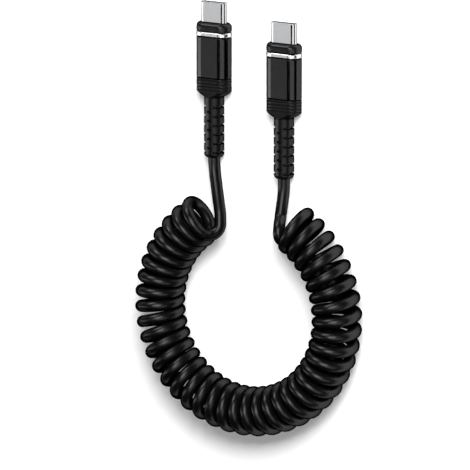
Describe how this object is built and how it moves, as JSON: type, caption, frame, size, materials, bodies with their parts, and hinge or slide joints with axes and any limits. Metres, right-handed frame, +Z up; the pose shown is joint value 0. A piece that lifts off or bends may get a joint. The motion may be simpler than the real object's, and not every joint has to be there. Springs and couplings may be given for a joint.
{
  "type": "coiled usb c cable",
  "caption": "Coiled spring cable bent round into an open C, with a USB-C plug, metal sleeve and strain relief on each of its straight leads.",
  "frame": {"origin": "on the floor, under the centre of the box round the two plugs", "axes": "+Y along the plugs towards their mouths, +X from the left plug to the right one, +Z up from the floor"},
  "size_m": [0.0739, 0.1259, 0.0143],
  "materials": {
    "plug_shell": "bright drawn steel",
    "contact_block": "matt black",
    "moulded_body": "satin black",
    "trim_ring": "polished",
    "metal_sleeve": "smooth black, semi-gloss",
    "strain_relief": "matt black",
    "cord_jacket": "satin black"
  },
  "bodies": {
    "root": {"left_usb_shell": "plug_shell", "left_contact_block": "contact_block", "left_moulded_body": "moulded_body", "left_trim_ring": "trim_ring", "left_metal_sleeve": "metal_sleeve", "left_strain_relief": "strain_relief", "left_lead": "cord_jacket", "coil": "cord_jacket", "right_lead": "cord_jacket", "right_strain_relief": "strain_relief", "right_metal_sleeve": "metal_sleeve", "right_trim_ring": "trim_ring", "right_moulded_body": "moulded_body", "right_contact_block": "contact_block", "right_usb_shell": "plug_shell"}
  },
  "joints": []
}
